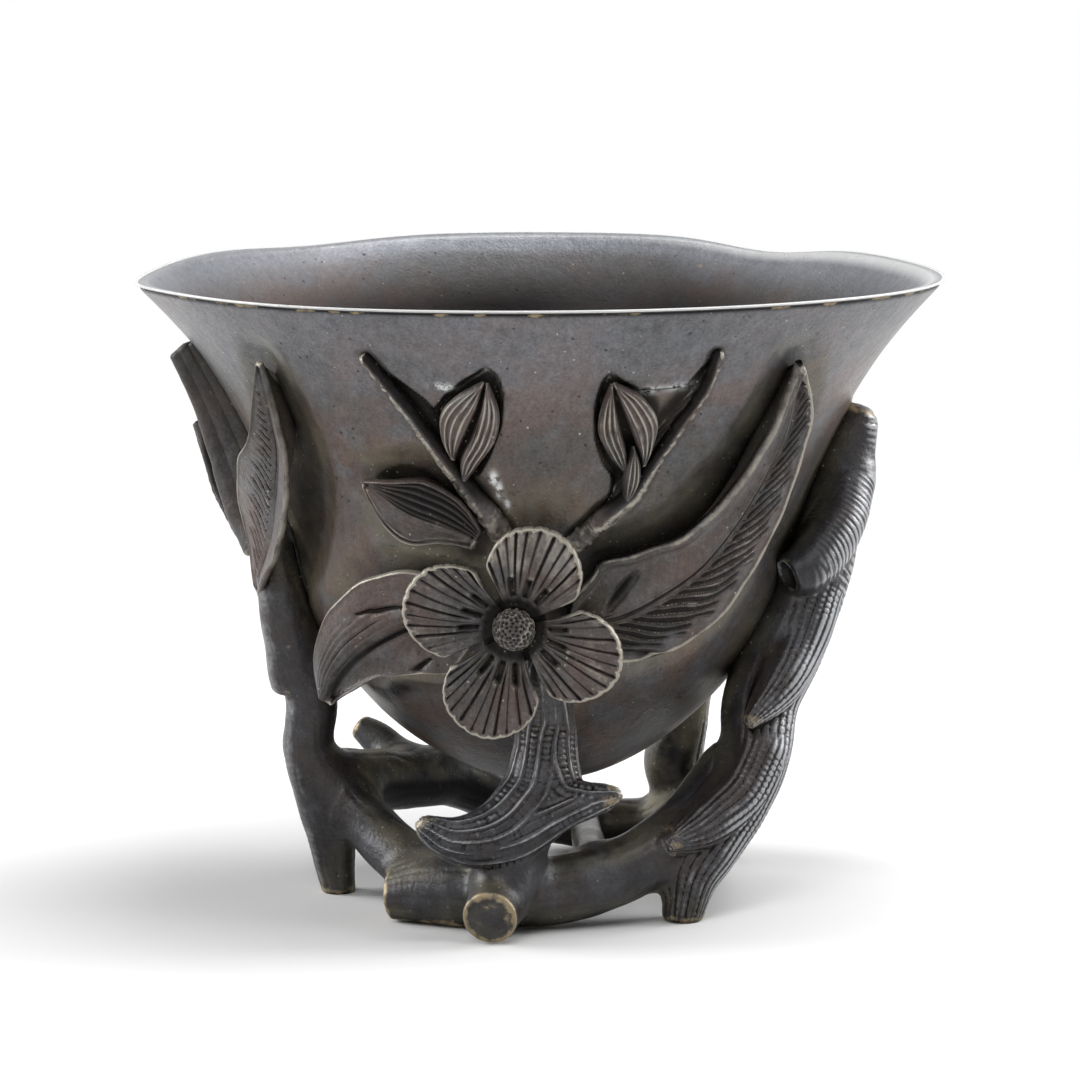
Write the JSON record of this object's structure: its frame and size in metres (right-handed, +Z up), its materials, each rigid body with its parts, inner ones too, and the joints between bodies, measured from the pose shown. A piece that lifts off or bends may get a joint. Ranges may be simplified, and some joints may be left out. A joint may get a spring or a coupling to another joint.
{
  "type": "bronze cup",
  "caption": "Small bronze libation cup: a flared oval bowl held in an openwork foot of gnarled roots and branches, with a raised flower, leaves, twigs and buds on its wall.",
  "frame": {"origin": "middle of the bounding box at the level the feet stand on", "axes": "+X along the wide axis of the mouth, +Y to the back, +Z up; the big flower faces -Y"},
  "size_m": [0.105, 0.094, 0.0815],
  "materials": {
    "bowl_bronze": "dark brown patinated bronze, satin, worn bright at the lip",
    "branch_bronze": "dark brown patinated bronze, chased bark, dust in the hollows",
    "relief_bronze": "dark brown patinated bronze, chased veins, worn bright on the edges"
  },
  "bodies": {
    "root": {"back_branch": "branch_bronze", "back_bud_inner": "relief_bronze", "back_bud_outer": "relief_bronze", "back_flower_button": "relief_bronze", "back_flower_calyx": "branch_bronze", "back_flower_petal_bottom": "relief_bronze", "back_flower_petal_left": "relief_bronze", "back_flower_petal_right": "relief_bronze", "back_flower_petal_top": "relief_bronze", "back_leaf": "relief_bronze", "back_left_branch": "branch_bronze", "back_right_trunk": "branch_bronze", "back_root": "branch_bronze", "back_small_leaf": "relief_bronze", "back_twig": "branch_bronze", "bowl": "bowl_bronze", "cross_root": "branch_bronze", "curled_leaf": "relief_bronze", "flower_button": "relief_bronze", "flower_calyx": "branch_bronze", "flower_petal_bottom": "relief_bronze", "flower_petal_left": "relief_bronze", "flower_petal_right": "relief_bronze", "flower_petal_top": "relief_bronze", "front_branch": "branch_bronze", "front_root": "branch_bronze", "left_bud_inner": "relief_bronze", "left_bud_outer": "relief_bronze", "left_root": "branch_bronze", "left_trunk": "branch_bronze", "left_twig": "branch_bronze", "lower_left_leaf": "relief_bronze", "right_bud_inner": "relief_bronze", "right_bud_outer": "relief_bronze", "right_bud_sepal": "relief_bronze", "right_leaf": "relief_bronze", "right_trunk": "branch_bronze", "right_twig": "branch_bronze", "side_leaf": "relief_bronze", "side_twig": "branch_bronze", "small_side_leaf": "relief_bronze"}
  },
  "joints": []
}
